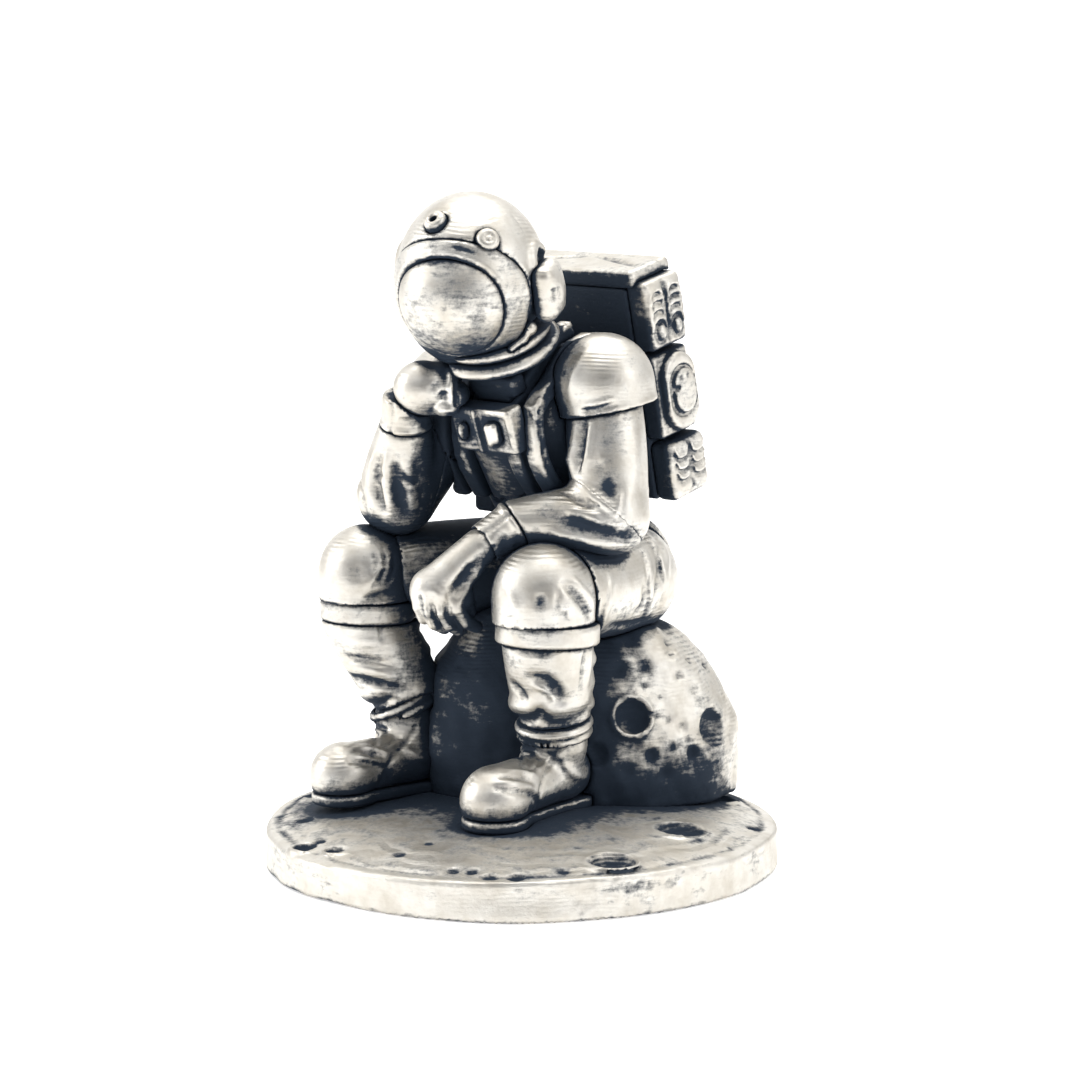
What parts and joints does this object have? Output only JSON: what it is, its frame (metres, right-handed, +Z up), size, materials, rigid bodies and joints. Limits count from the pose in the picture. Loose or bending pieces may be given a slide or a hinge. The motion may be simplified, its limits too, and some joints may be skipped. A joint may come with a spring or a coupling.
{
  "type": "seated astronaut statuette",
  "caption": "Cast metal statuette of an astronaut sitting in thought on a cratered boulder, on a round disc of lunar ground.",
  "frame": {"origin": "centre of the round base's underside", "axes": "+Z up, the figure faces -Y, its left side is +X"},
  "size_m": [0.031, 0.031, 0.0399],
  "materials": {
    "cast_suit": "cast silver, oxidised in the folds and hand-polished on the high places",
    "cast_equipment": "cast silver, more heavily oxidised between the pieces of equipment",
    "cast_ground": "cast silver with pitted, oxidised craters and polished crests",
    "polished_visor": "smoothly polished silver with faint brush lines"
  },
  "bodies": {
    "root": {"backpack_body": "cast_equipment", "backpack_lower_module_left": "cast_equipment", "backpack_lower_module_right": "cast_equipment", "backpack_middle_module_left": "cast_equipment", "backpack_middle_module_right": "cast_equipment", "backpack_top_bar": "cast_equipment", "backpack_upper_module_left": "cast_equipment", "backpack_upper_module_right": "cast_equipment", "belt_disc": "cast_equipment", "belt_pouch_left": "cast_equipment", "belt_pouch_right": "cast_equipment", "boot_collar_left": "cast_suit", "boot_collar_right": "cast_suit", "boot_left": "cast_suit", "boot_right": "cast_suit", "boot_sole_left": "cast_suit", "boot_sole_right": "cast_suit", "boulder": "cast_ground", "chest_control_box": "cast_equipment", "chest_knob_left": "cast_equipment", "chest_knob_right": "cast_equipment", "chin_latch_left": "cast_suit", "chin_latch_right": "cast_suit", "collar_plate": "cast_equipment", "cuff_left": "cast_suit", "cuff_right": "cast_suit", "ear_pod_left": "cast_suit", "ear_pod_right": "cast_suit", "forearm_left": "cast_suit", "forearm_right": "cast_suit", "glove_left": "cast_suit", "glove_right": "cast_suit", "harness_inner_left": "cast_equipment", "harness_inner_right": "cast_equipment", "harness_outer_left": "cast_equipment", "harness_outer_right": "cast_equipment", "helmet_port_lower": "cast_suit", "helmet_port_upper": "cast_suit", "helmet_shell": "cast_suit", "hips": "cast_suit", "knee_band_left": "cast_suit", "knee_band_right": "cast_suit", "knee_pad_left": "cast_suit", "knee_pad_right": "cast_suit", "lower_leg_left": "cast_suit", "lower_leg_right": "cast_suit", "lunar_ground": "cast_ground", "neck_ring_lower": "cast_suit", "neck_ring_upper": "cast_suit", "shoulder_cap_left": "cast_suit", "shoulder_cap_right": "cast_suit", "thigh_left": "cast_suit", "thigh_right": "cast_suit", "torso": "cast_suit", "upper_arm_left": "cast_suit", "upper_arm_right": "cast_suit", "visor": "polished_visor", "visor_brim": "cast_suit", "waist_belt": "cast_equipment"}
  },
  "joints": []
}
